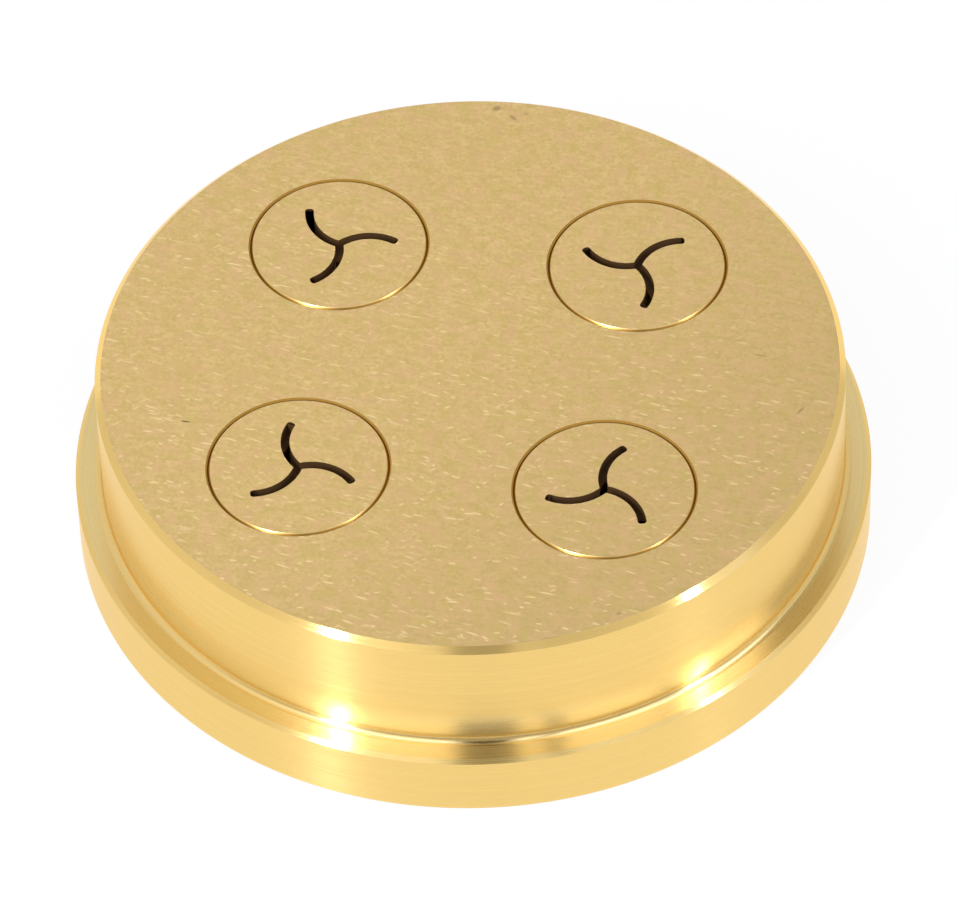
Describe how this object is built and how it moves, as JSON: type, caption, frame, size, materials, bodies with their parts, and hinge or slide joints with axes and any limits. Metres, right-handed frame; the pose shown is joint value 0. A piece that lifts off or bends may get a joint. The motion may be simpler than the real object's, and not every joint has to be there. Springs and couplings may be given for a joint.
{
  "type": "pasta extrusion die",
  "caption": "Round flanged brass die for a small pasta extruder, with pressed-in inserts whose curved three-arm slots shape twisted pasta.",
  "frame": {"origin": "centre of the rear face, which is the face that the die rests on", "axes": "+Z along the die's axis, from the rear face to the front face with the slots; the front side of the picture is towards -Y"},
  "size_m": [0.059, 0.059, 0.0152],
  "materials": {
    "body_brass": "turned, front face lapped",
    "insert_brass": "turned, front face lapped"
  },
  "bodies": {
    "root": {"die_body": "body_brass", "insert_front_right": "insert_brass", "insert_back_right": "insert_brass", "insert_back_left": "insert_brass", "insert_front_left": "insert_brass"}
  },
  "joints": []
}
